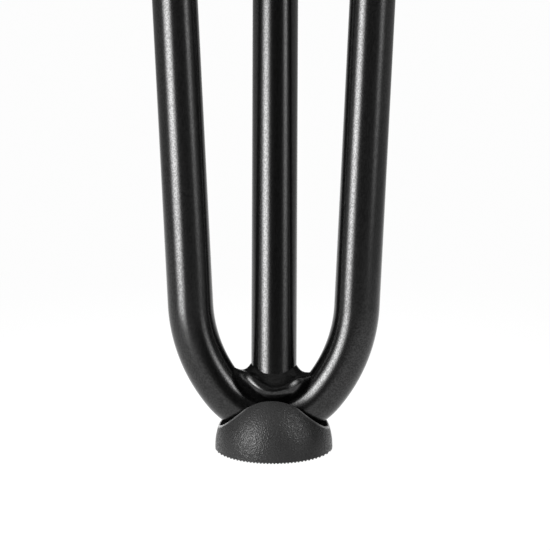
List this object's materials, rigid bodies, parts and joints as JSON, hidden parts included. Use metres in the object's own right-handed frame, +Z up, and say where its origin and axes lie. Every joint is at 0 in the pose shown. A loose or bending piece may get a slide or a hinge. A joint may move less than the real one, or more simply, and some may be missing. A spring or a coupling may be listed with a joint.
{
  "type": "hairpin table leg",
  "caption": "Hairpin table leg: a bent steel rod with a raked centre rod welded into the bend, a screw plate on top and a moulded foot cap that guards the floor",
  "frame": {"origin": "middle of the screw pattern on the top face of the mounting plate", "axes": "+Z up, out of the plate into the table top; X across the hairpin; the foot stands out towards -Y and the centre rod leans towards +Y"},
  "size_m": [0.1284, 0.1463, 0.711],
  "materials": {
    "powder_coat": "satin black powder coat on steel, with a fine orange peel",
    "cap_plastic": "black moulded plastic with a fine spark-eroded grain"
  },
  "bodies": {
    "root": {"hairpin_rod": "powder_coat", "centre_rod": "powder_coat", "bend_weld": "powder_coat", "mounting_plate": "powder_coat", "plate_weld_left": "powder_coat", "plate_weld_right": "powder_coat", "plate_weld_centre": "powder_coat", "foot_cap": "cap_plastic"}
  },
  "joints": []
}
